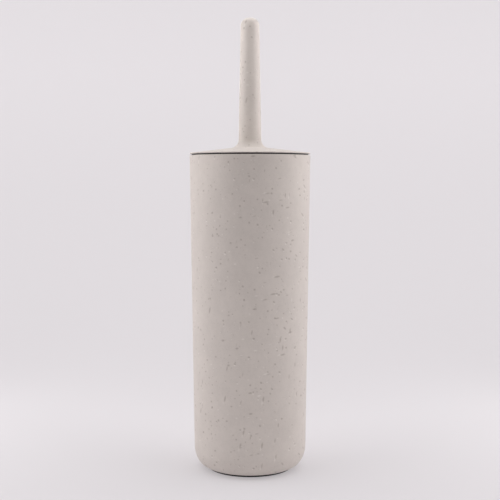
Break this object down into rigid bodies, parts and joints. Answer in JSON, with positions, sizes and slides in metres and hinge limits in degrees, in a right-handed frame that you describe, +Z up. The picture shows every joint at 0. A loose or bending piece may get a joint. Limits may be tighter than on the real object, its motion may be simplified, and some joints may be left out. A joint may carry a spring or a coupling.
{
  "type": "toilet brush holder",
  "caption": "Tall round canister with a removable drip liner and a lidded toilet brush whose slim handle rises from the lid; free-standing, closed when the brush is in.",
  "frame": {"origin": "centre of the foot ring's underside, on the floor", "axes": "+Z up along the common axis of canister, lid and handle; X and Y are alike, with the first tuft of the odd bristle rows on +X"},
  "size_m": [0.1, 0.1, 0.374],
  "materials": {
    "speckled_composite": "satin, pale greige, finely flecked with fibres",
    "black_rubber": "matte",
    "dark_liner": "matte",
    "insert_brass": "machined",
    "stem_plastic": "fine moulded texture",
    "core_plastic": "moulded",
    "bristle_nylon": "fine filaments",
    "staple_steel": "drawn wire"
  },
  "bodies": {
    "holder": {"holder_body": "speckled_composite", "foot_ring": "black_rubber"},
    "liner": {"inner_liner": "dark_liner"},
    "brush": {"lid": "speckled_composite", "handle": "speckled_composite", "handle_insert": "insert_brass", "lid_washer": "black_rubber", "stem": "stem_plastic"},
    "washer": {"head_washer": "black_rubber"},
    "head": {"head_core": "core_plastic", "tuft_staples": "staple_steel", "bristle_row_1": "bristle_nylon", "bristle_row_2": "bristle_nylon", "bristle_row_3": "bristle_nylon", "bristle_row_4": "bristle_nylon", "bristle_row_5": "bristle_nylon", "bristle_row_6": "bristle_nylon", "bristle_row_7": "bristle_nylon", "bristle_row_8": "bristle_nylon", "bristle_row_9": "bristle_nylon", "bristle_crown": "bristle_nylon"}
  },
  "joints": [
    {"name": "liner_lift", "type": "slide", "parent": "holder", "child": "liner", "axis": [0, 0, 1], "range_m": [0, 0.275]},
    {"name": "brush_lift", "type": "slide", "parent": "liner", "child": "brush", "axis": [0, 0, 1], "range_m": [0, 0.275]},
    {"name": "head_lead", "type": "slide", "parent": "brush", "child": "washer", "axis": [0, 0, -1], "range_m": [0, 0.01]},
    {"name": "head_unscrew", "type": "hinge", "parent": "washer", "child": "head", "pos_m": [0, 0, 0.108], "axis": [0, 0, -1], "range_deg": [0, 1440]}
  ],
  "couplings": [
    {"joint": "head_lead", "follows": "head_unscrew", "m_per_rad": 0.00039789}
  ]
}
